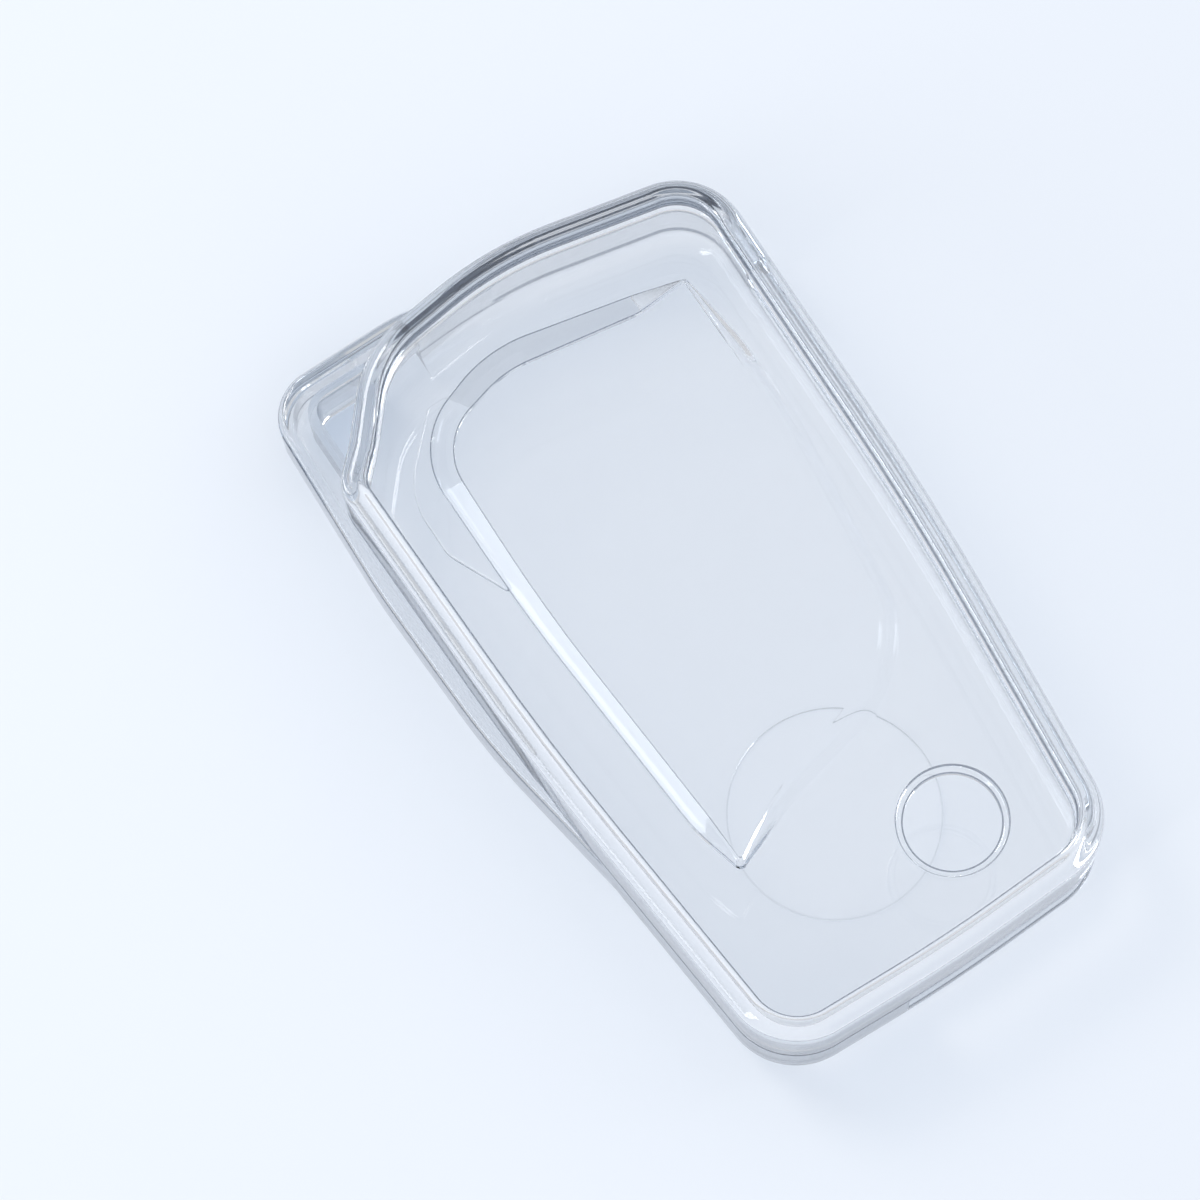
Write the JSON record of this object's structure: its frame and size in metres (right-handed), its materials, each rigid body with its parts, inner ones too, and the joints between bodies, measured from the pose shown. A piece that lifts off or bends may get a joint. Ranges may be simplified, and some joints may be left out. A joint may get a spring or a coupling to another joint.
{
  "type": "key fob cover",
  "caption": "Clear moulded key fob cover in shells that snap together, with a raised press pad, a round hole, a side opening and a corner ring loop.",
  "frame": {"origin": "middle of the flat rear face, on which the cover lies", "axes": "+X across the cover towards the side opening, +Y along it towards the end with the ring loop, +Z out of the front face"},
  "size_m": [0.0504, 0.0867, 0.0174],
  "materials": {
    "clear_shell": "clear glossy moulded soft plastic with a faint cool tint",
    "clear_pad": "clear glossy moulded soft plastic with a faint cool tint"
  },
  "bodies": {
    "rear_half": {"rear_shell": "clear_shell"},
    "front_half": {"front_shell": "clear_shell"},
    "pad": {"button_pad": "clear_pad"}
  },
  "joints": [
    {"name": "front_shell_lift", "type": "slide", "parent": "rear_half", "child": "front_half", "axis": [0, 0, 1], "range_m": [0, 0.02]},
    {"name": "button_pad_press", "type": "slide", "parent": "front_half", "child": "pad", "axis": [0, 0, -1], "range_m": [0, 0.0005], "stiffness_N_per_m": 4000}
  ]
}
